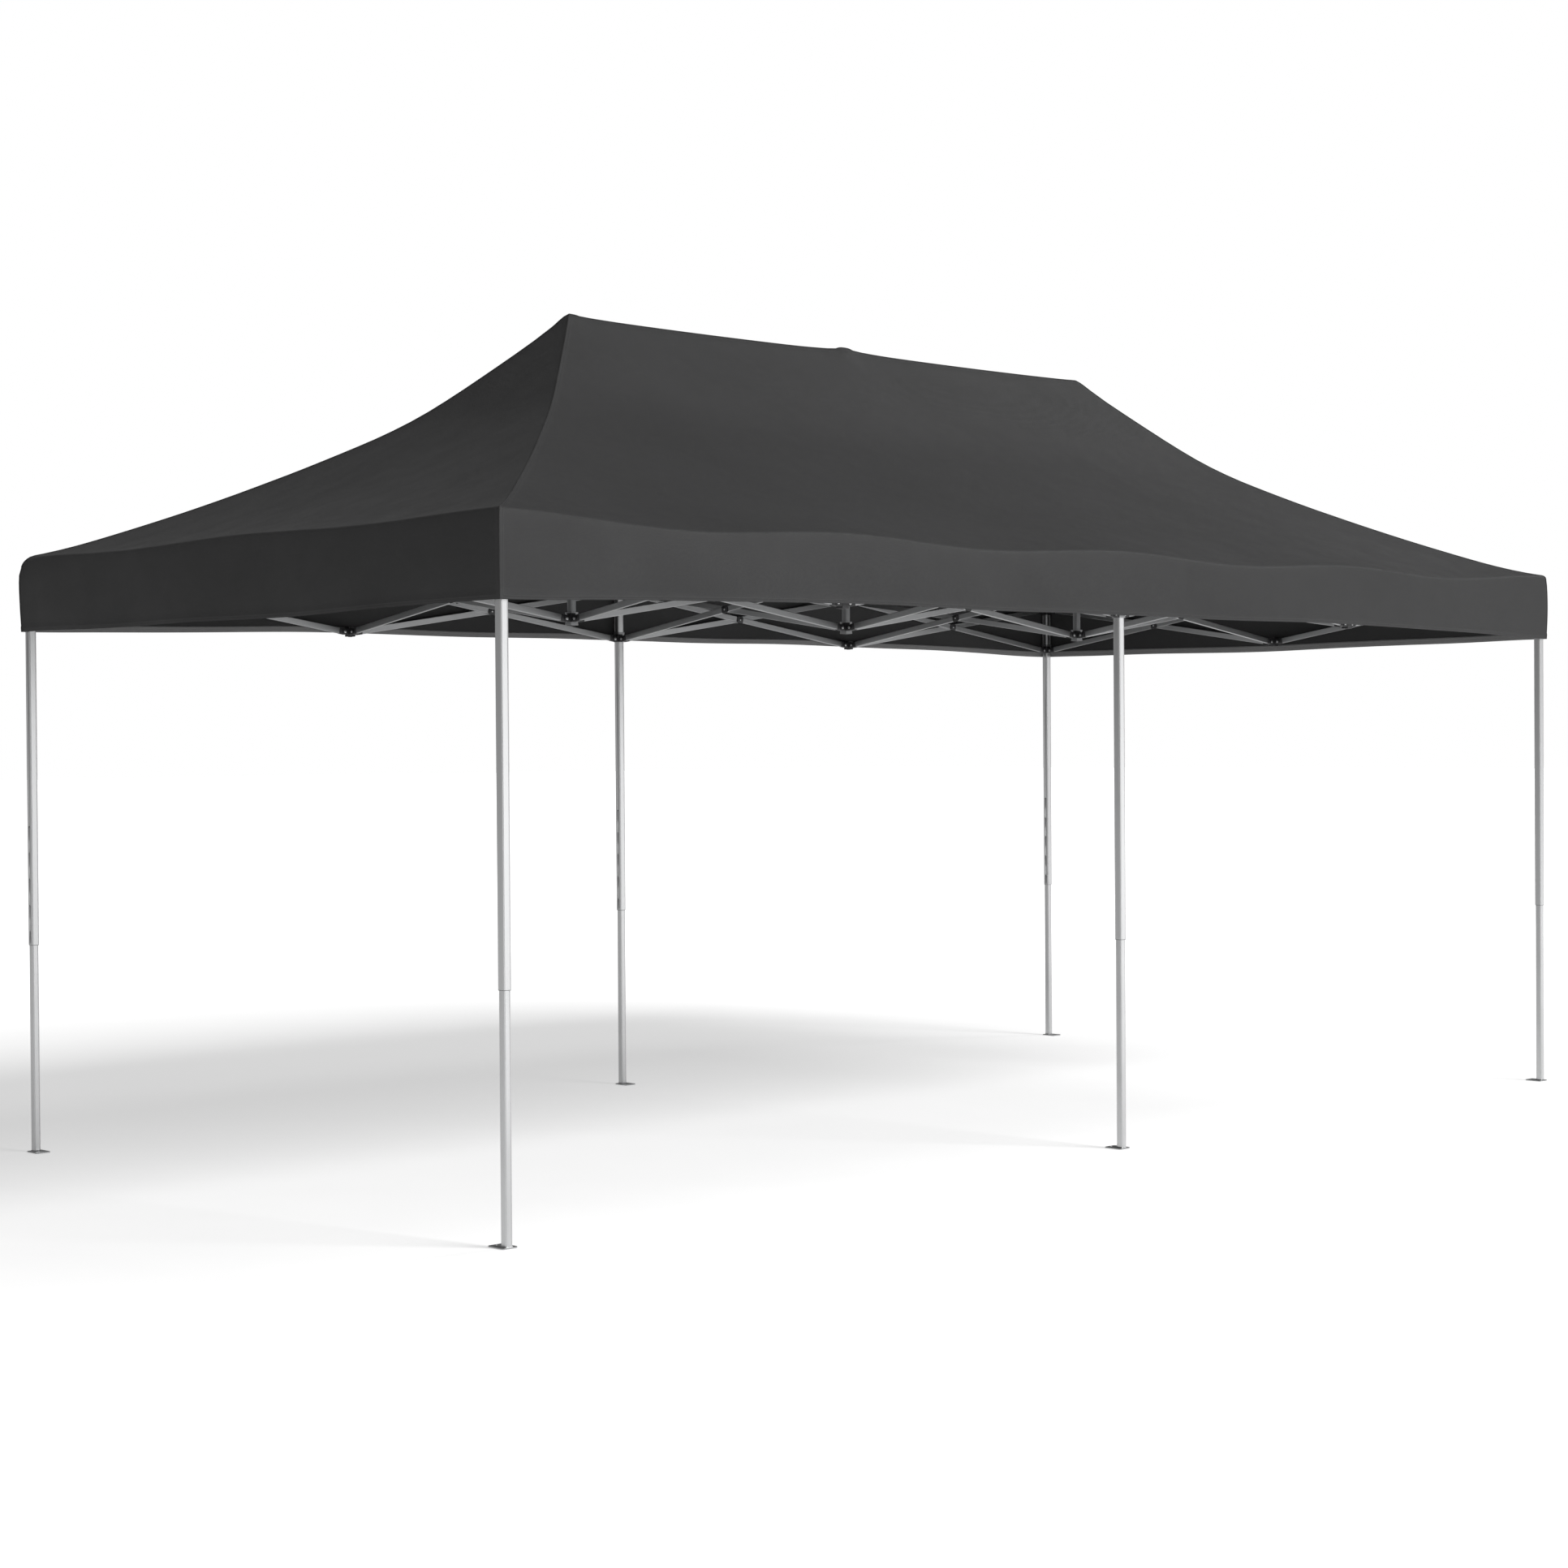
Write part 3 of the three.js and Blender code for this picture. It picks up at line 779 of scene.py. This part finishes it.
def grid_lines(half, hips, fine):
    """Lines from the middle to the edge of a half plan, denser in the bend at the edge."""
    first = np.array([])
    if half > hips:
        first = np.linspace(0, half - hips, max(1, round((half - hips) / fine)) + 1)[:-1]
    rest = np.linspace(half - hips, half - 0.06, round((hips - 0.06) / fine) + 1)
    bend = half - np.array([0.038, 0.024, 0.0155, 0.0105, 0.0066, 0.0034, 0.0011, 0.0])
    positive = np.concatenate([first, rest, bend])
    tip = np.array([0.014, 0.028, 0.038])  # more lines over the tips of the masts
    inner = half - hips
    positive = np.unique(np.concatenate([positive, tip, inner + tip, inner - tip]).round(6))
    positive = positive[positive >= 0]
    return np.concatenate([-positive[:0:-1], positive])


CELL = 0.048  # of the cover's grid
CLOTH_THICK, TAPE_THICK = 0.0009, 0.0007
CLOTH_SMOOTH_BELOW = math.radians(18)
HEM_FROM, HEM_THICK = 0.9, 0.0012  # share of the way down the skirt where the hem starts, and its step
TAPE_IN, TAPE_UP = 0.0022, 0.002  # from the skirt to the tape inside it
NO_SEAM = 1.0  # a distance too far from any seam to show one
CORNER_BACK, CORNER_SOFT = 0.030, 0.002  # the back left corner is rounder than the others


def make_cover():
    """The cloth of roof and skirt, the tape inside its hem and its sewn beads."""
    xs, ys = grid_lines(COVER_X, COVER_Y, CELL), grid_lines(COVER_Y, COVER_Y, CELL)
    gx, gy = np.meshgrid(xs, ys)
    run = np.minimum(COVER_X - np.abs(gx), COVER_Y - np.abs(gy))
    z = roof_height(gx, gy)
    z += 0.003 * wander(gx, gy, 3, 0.9) * np.clip(run / 0.2, 0, 1) * np.clip((COVER_Y - run) / 0.3, 0, 1)
    reach = np.hypot(np.abs(gx) - COVER_X, np.abs(gy) - COVER_Y)
    soft = np.where((gx < 0) & (gy > 0), CORNER_BACK, CORNER_SOFT)
    bend = FOLD_RADIUS + soft * np.exp(-((reach / 0.1) ** 2))
    inside = np.clip(bend - run, 0, bend)
    z -= bend - np.sqrt(np.maximum(bend**2 - inside**2, 0))
    points = np.stack([gx, gy, z], -1).reshape(-1, 3)
    columns, rows = len(xs), len(ys)
    at = np.arange(rows * columns).reshape(rows, columns)
    faces = []
    for j in range(rows - 1):
        for i in range(columns - 1):
            a, b, c, d = at[j, i], at[j, i + 1], at[j + 1, i + 1], at[j + 1, i]
            if (xs[i] + xs[i + 1]) * (ys[j] + ys[j + 1]) > 0:
                faces += [(a, b, c), (a, c, d)]
            else:
                faces += [(a, b, d), (b, c, d)]
    # seams on the roof: hips and ridge
    hip = np.abs((COVER_X - np.abs(gx)) - (COVER_Y - np.abs(gy))) / math.sqrt(2)
    ridge = np.where(np.abs(gx) < COVER_X - COVER_Y, np.abs(gy), 9.0)
    seam = np.minimum(np.minimum(hip, ridge), 1.0).reshape(-1)

    rim = [*at[0, :-1], *at[:-1, -1], *at[-1, :0:-1], *at[:0:-1, 0]]
    levels = np.concatenate([np.linspace(0.0, 0.86, 9)[1:], [0.9, 0.93, 0.96, 0.985, 1.0]])
    skirt, skirt_seam = [], []
    edge = points[rim]
    perimeter = np.cumsum(np.r_[0, np.linalg.norm(np.diff(edge[:, :2], axis=0), axis=1)])
    out = np.zeros((len(rim), 2))
    front_or_back = np.abs(np.abs(edge[:, 1]) - COVER_Y) < 1e-6
    ends = np.abs(np.abs(edge[:, 0]) - COVER_X) < 1e-6
    out[front_or_back, 1] = np.sign(edge[front_or_back, 1])
    out[ends, 0] = np.sign(edge[ends, 0])
    # how far from a leg, a corner and a node, each along the edge
    nodes_x = np.array([-2, 0, 2]) * PITCH
    along = np.where(ends, np.abs(np.abs(edge[:, 1]) - PITCH), np.abs(edge[:, :1] - nodes_x).min(1))
    corner = np.hypot(COVER_X - np.abs(edge[:, 0]), COVER_Y - np.abs(edge[:, 1]))
    free = 1 - np.exp(-((along / 0.3) ** 2))
    wave = np.sin(perimeter * 2 * np.pi / 0.93 + 0.4) + 0.6 * np.sin(perimeter * 2 * np.pi / 0.53 + 2.0)
    # the hem rises from each corner towards the middle of its side
    lift = np.where(front_or_back, 0.028, -0.010) * (1 - np.exp(-((corner / 0.75) ** 2))) - 0.008
    back_left = (edge[:, 0] < 0) & (edge[:, 1] > 0)
    for t in levels:
        top = edge[:, 2]
        bottom = HEM + lift + 0.0025 * free * np.sin(perimeter * 2 * np.pi / 1.3)
        ring = edge.copy()
        ring[:, 2] = top + (bottom - top) * t
        bulge = np.where(back_left, 0.004, 0.001) * math.exp(-(((t - 0.12) / 0.3) ** 2))
        bulge = bulge * np.exp(-((corner / 0.35) ** 2))
        bulge = bulge + 0.004 * math.sin(math.pi * t) + 0.004 * free * t * (wave + 0.9)
        if t > HEM_FROM:
            bulge = bulge + HEM_THICK
        ring[:, :2] += out * bulge[:, None]
        skirt.append(ring)
        skirt_seam.append(np.minimum(np.abs(ring[:, 2] - bottom), np.minimum(corner, 1.0)))
    base, count = len(points), len(rim)
    points = np.concatenate([points, *skirt])
    seam = np.concatenate([seam, *skirt_seam])
    previous = np.array(rim)
    for r in range(len(levels)):
        current = base + r * count + np.arange(count)
        for k in range(count):
            n = (k + 1) % count
            faces += [(previous[k], current[k], current[n]), (previous[k], current[n], previous[n])]
        previous = current

    mesh = bpy.data.meshes.new("cover_cloth")
    mesh.from_pydata([tuple(p) for p in points], [], [tuple(int(k) for k in f) for f in faces])
    for mat in (CLOTH, COATING, TAPE):
        mesh.materials.append(mat)
    mesh.attributes.new("seam", "FLOAT", "POINT").data.foreach_set("value", seam.astype(np.float32))
    mesh.polygons.foreach_set("use_smooth", [True] * len(mesh.polygons))
    obj = bpy.data.objects.new("cover_cloth", mesh)
    link(obj)
    thick = obj.modifiers.new("thickness", "SOLIDIFY")
    thick.thickness, thick.offset, thick.material_offset, thick.material_offset_rim = CLOTH_THICK, -1, 1, 0
    bake(obj)
    obj.data.set_sharp_from_angle(angle=CLOTH_SMOOTH_BELOW)
    seams = make_seams(points, at, xs, ys, skirt, rim)

    tape = bpy.data.meshes.new("hem_tape")
    band = []
    for ring in [ring for ring, t in zip(skirt, levels) if t >= HEM_FROM]:
        inner = ring.copy()
        inner[:, :2] -= out * TAPE_IN
        inner[:, 2] += TAPE_UP
        band.append(inner)
    band_faces = []
    for r in range(len(band) - 1):
        for k in range(count):
            n = (k + 1) % count
            a, b, c, d = r * count + k, r * count + n, (r + 1) * count + n, (r + 1) * count + k
            band_faces.append((a, b, c, d))
    tape.from_pydata([tuple(p) for ring in band for p in ring], [], band_faces)
    tape.materials.append(TAPE)
    tape.polygons.foreach_set("use_smooth", [True] * len(tape.polygons))
    strip = bpy.data.objects.new("hem_tape", tape)
    link(strip)
    thick = strip.modifiers.new("thickness", "SOLIDIFY")
    thick.thickness, thick.offset = TAPE_THICK, 0
    bake(strip)
    return obj, strip, seams


def sweep(path, radius, count=8):
    """A round bead along a path, its ends closed."""
    rings = []
    for k, here in enumerate(path):
        ahead = (path[min(k + 1, len(path) - 1)] - path[max(k - 1, 0)]).normalized()
        side = ahead.cross(Vector((0.31, 0.17, 0.93))).normalized()
        up = side.cross(ahead)
        rings.append([tuple(here + radius * (side * math.cos(a) + up * math.sin(a)))
                      for a in (2 * math.pi * n / count for n in range(count))])
    verts, faces = loft(rings)
    return verts, [face[::-1] for face in faces]


RIDGE_BEAD, HIP_BEAD = 0.002, 0.0021  # radii


def make_seams(points, at, xs, ys, skirt, rim):
    """Sewn beads along the hips, the ridge and the corners of the skirt."""
    shape = Shape()
    middle = len(ys) // 2
    masts = [int(np.argmin(np.abs(xs + PITCH))), int(np.argmin(np.abs(xs - PITCH)))]
    ridge = [Vector(points[at[middle, i]]) for i in range(masts[0], masts[1] + 1)]
    shape.put(sweep([p + Vector((0, 0, 0.0004)) for p in ridge], RIDGE_BEAD), "cloth")
    for sx, i0 in ((1, masts[1]), (-1, masts[0])):
        for sy in (1, -1):
            hip = [Vector(points[at[middle + sy * k, i0 + sx * k]]) for k in range(middle + 1)]
            corner = rim.index(at[middle + sy * middle, i0 + sx * middle])
            drop = [Vector(ring[corner]) for ring in skirt]
            out = Vector((sx, sy, 0.6)).normalized() * 0.0005
            shape.put(sweep([p + out for p in hip + drop], HIP_BEAD), "cloth")
    made = shape.build("cover_seams")
    made.data.attributes.new("seam", "FLOAT", "POINT").data.foreach_set(
        "value", np.full(len(made.data.vertices), NO_SEAM, np.float32))
    return made


# How far legs and masts travel when the frame is folded, which moves the cloth with them.
FOLD = math.radians(79.1)  # how far every bar turns
FOLDED_PITCH = 2 * PIVOT + BAR_LENGTH * math.cos(TILT + FOLD)
TRAVEL = 2 * (PITCH - FOLDED_PITCH)
DROP = BAR_LENGTH * math.sin(TILT + FOLD) - (Z_HIGH - Z_LOW)


SKIRT_TOP = 2.235  # the roof is above this height
FOLDED_TOP = 2.262  # height of the folded cloth between its pleats
PLEAT_TALL, CROSS_PLEAT_TALL = 0.045, 0.008
SKIRT_NEAR = 0.03  # the skirt is this close to the edge of the plan
SKIRT_OUT, SKIRT_PLEAT = 0.03, 0.05  # how far the folded skirt stands out, and how deep its pleats are


def folded_place(p):
    """Where a point of the cloth goes when the frame is folded: in pleats over the bundle of bars."""
    x, y, z = p.T
    u, v = np.clip(x / PITCH, -2, 2), np.clip((y + PITCH) / PITCH, 0, 2)
    # what lies outside the outer legs stays as far outside them
    fx = u * FOLDED_PITCH + x - u * PITCH
    fy = v * FOLDED_PITCH + y - v * PITCH
    pleat_u, pleat_v = (0.5 - 0.5 * np.cos(4 * np.pi * u)) ** 0.6, 0.5 - 0.5 * np.cos(4 * np.pi * v)
    roof = z > SKIRT_TOP
    rise = np.clip((z - EAVE) / (PEAK - EAVE), 0, 1)
    tall = PLEAT_TALL + 0.009 * np.sin(3.1 * v + 7.3 * u) + 0.006 * np.sin(6.7 * v - 4.1 * u)
    pleats = (tall * pleat_u + CROSS_PLEAT_TALL * pleat_v) * np.clip(rise * 6, 0, 1)
    fz = np.where(roof, np.minimum(z, FOLDED_TOP + 0.02 * rise + pleats), z)
    low = np.clip((FOLDED_TOP - z) / 0.2, 0, 1)
    at_front, at_back = np.abs(y + COVER_Y) < SKIRT_NEAR, np.abs(y - COVER_Y) < SKIRT_NEAR
    at_end = np.abs(np.abs(x) - COVER_X) < SKIRT_NEAR
    out_u, out_v = (SKIRT_OUT + SKIRT_PLEAT * pleat_u) * low, (SKIRT_OUT + SKIRT_PLEAT * pleat_v) * low
    fy = fy - np.where(at_front, out_u, 0) + np.where(at_back, out_u, 0)
    fx = fx + np.where(at_end, np.sign(x) * out_v, 0)
    return fx, fy, fz


def hook(obj, body, weights):
    """The vertices follow a body's travel by these shares; the bodies used never turn."""
    group = obj.vertex_groups.new(name=body)
    for k in np.nonzero(weights > 1e-5)[0]:
        group.add([int(k)], float(weights[k]), "REPLACE")
    made = obj.modifiers.new(f"follow_{body}", "HOOK")
    made.object = frame["bodies"][body]
    made.vertex_group = body
    made.falloff_type = "NONE"
    made.strength = 1.0
    made.matrix_inverse = Matrix.Identity(4)


def fold_with_frame(obj):
    """Shares of four bodies' travel that take each vertex to its folded place."""
    p = np.empty(len(obj.data.vertices) * 3)
    obj.data.vertices.foreach_get("co", p)
    p = p.reshape(-1, 3)
    x, y, z = p.T
    fx, fy, fz = folded_place(p)
    down = np.clip((z - fz) / DROP, 0, 1)
    back = np.clip((y - fy - down * TRAVEL / 2) / TRAVEL, 0, 1)
    hook(obj, "mast_middle", down)
    hook(obj, "leg_back_middle", back)
    hook(obj, "leg_front_right", np.clip((x - fx) / TRAVEL, 0, 1))
    hook(obj, "leg_front_left", np.clip((fx - x) / TRAVEL, 0, 1))


# ---------------------------------------------------------------- camera, light and floor
EYE = (-8.165, -8.257, 1.535)
YAW, PITCH_DOWN, ROLL = math.radians(43.39), math.radians(-0.73), -0.007
LENS, SHIFT_Y = 64.28, -0.0027


def make_camera():
    """Looks from the front left, the eye at standing height."""
    yaw, pitch, roll = YAW, PITCH_DOWN, ROLL
    ahead = Vector((math.sin(yaw), math.cos(yaw), 0))
    right = Vector((math.cos(yaw), -math.sin(yaw), 0))
    up = Vector((0, 0, 1))
    ahead, up = ahead * math.cos(pitch) + up * math.sin(pitch), up * math.cos(pitch) - ahead * math.sin(pitch)
    right, up = right * math.cos(roll) + up * math.sin(roll), up * math.cos(roll) - right * math.sin(roll)
    data = bpy.data.cameras.new("camera")
    data.sensor_width, data.lens = 36.0, LENS
    data.shift_y = SHIFT_Y
    data.clip_end = 300
    obj = bpy.data.objects.new("camera", data)
    obj.matrix_world = Matrix((
        (right.x, up.x, -ahead.x, EYE[0]), (right.y, up.y, -ahead.y, EYE[1]),
        (right.z, up.z, -ahead.z, EYE[2]), (0, 0, 0, 1)))
    link(obj)
    bpy.context.scene.camera = obj


def area_light(name, place, target, size, power, tall=None):
    data = bpy.data.lights.new(name, "AREA")
    data.energy, data.size = power, size
    if tall:
        data.shape, data.size_y = "RECTANGLE", tall
    obj = bpy.data.objects.new(name, data)
    obj.location = place
    obj.rotation_euler = (Vector(target) - Vector(place)).to_track_quat("-Z", "Y").to_euler()
    obj.visible_camera = False
    link(obj)


AMBIENT = 0.22  # light from the white surround
FLOOR_GLOW = 0.26
FLOOR_NEAR, FLOOR_FAR = (4.0, 0.18), (12.0, 0.8)  # distance, and what the camera sees on top of the glow
FLOOR_HALF = 120.0


# name, place, target, width in metres, power in watts, and height where it isn't square
LIGHTS = (
    ("key", (6.0, -20.0, 16.5), (0, 0, 1.8), 10.0, 4950.0),
    ("card", (9.5, -13.5, 1.9), (0, 0, 1.2), 15.0, 230.0, 4.5),
    ("rim", (11.5, -3.6, 13.0), (0.8, -1.0, 2.2), 3.0, 300.0),
)


def make_stage():
    """A wide pale floor under a white surround, with three soft lights."""
    mesh = bpy.data.meshes.new("floor")
    r = FLOOR_HALF
    mesh.from_pydata([(-r, -r, -0.001), (r, -r, -0.001), (r, r, -0.001), (-r, r, -0.001)], [], [(0, 1, 2, 3)])
    mat, tree, bsdf = shader("floor", Roughness=0.9, Specular_IOR_Level=0.1, Emission_Color=(1, 1, 1, 1))
    place = add(tree, "ShaderNodeTexCoord").outputs["Object"]
    away = add(tree, "ShaderNodeVectorMath", [(0, place)], operation="LENGTH").outputs["Value"]
    glow = add(tree, "ShaderNodeMapRange", [
        (0, away), (1, FLOOR_NEAR[0]), (2, FLOOR_FAR[0]), (3, FLOOR_NEAR[1]), (4, FLOOR_FAR[1])]).outputs[0]
    seen = add(tree, "ShaderNodeLightPath").outputs["Is Camera Ray"]
    glow = plus(tree, times(tree, glow, seen), FLOOR_GLOW)
    tree.links.new(glow, bsdf.inputs["Emission Strength"])
    grain = stretched_noise(tree, place, 3.0, 4.0)
    tree.links.new(ramp(tree, grain, [(0.3, 0.88), (0.7, 0.9)]), bsdf.inputs["Base Color"])
    mesh.materials.append(mat)
    floor = bpy.data.objects.new("floor", mesh)
    link(floor)

    world = bpy.data.worlds.new("surround")
    world.use_nodes = True
    tree = world.node_tree
    soft = tree.nodes["Background"]
    soft.inputs["Color"].default_value = (1, 1, 1, 1)
    soft.inputs["Strength"].default_value = AMBIENT
    white = add(tree, "ShaderNodeBackground", [("Color", (1, 1, 1, 1)), ("Strength", 1.0)])
    seen = add(tree, "ShaderNodeLightPath").outputs["Is Camera Ray"]
    both = add(tree, "ShaderNodeMixShader", [(0, seen), (1, soft.outputs[0]), (2, white.outputs[0])])
    tree.links.new(both.outputs[0], tree.nodes["World Output"].inputs["Surface"])
    bpy.context.scene.world = world
    for light in LIGHTS:
        area_light(*light)
    bpy.context.scene.view_settings.view_transform = "Standard"


# ---------------------------------------------------------------- assembly
make_camera()
for end in ROWS:
    for side in COLUMNS:
        make_leg(end, side)
        make_slider(end, side)
for side in ("left", "middle", "right"):
    make_mast(side)
make_connectors()
make_cad_bars()
make_side_cross_lines()
cover, tape, seams = make_cover()
for soft in (cover, tape, seams):
    finish_piece(soft, "leg_front_middle", "cover")
    fold_with_frame(soft)
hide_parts("cover")
make_stage()
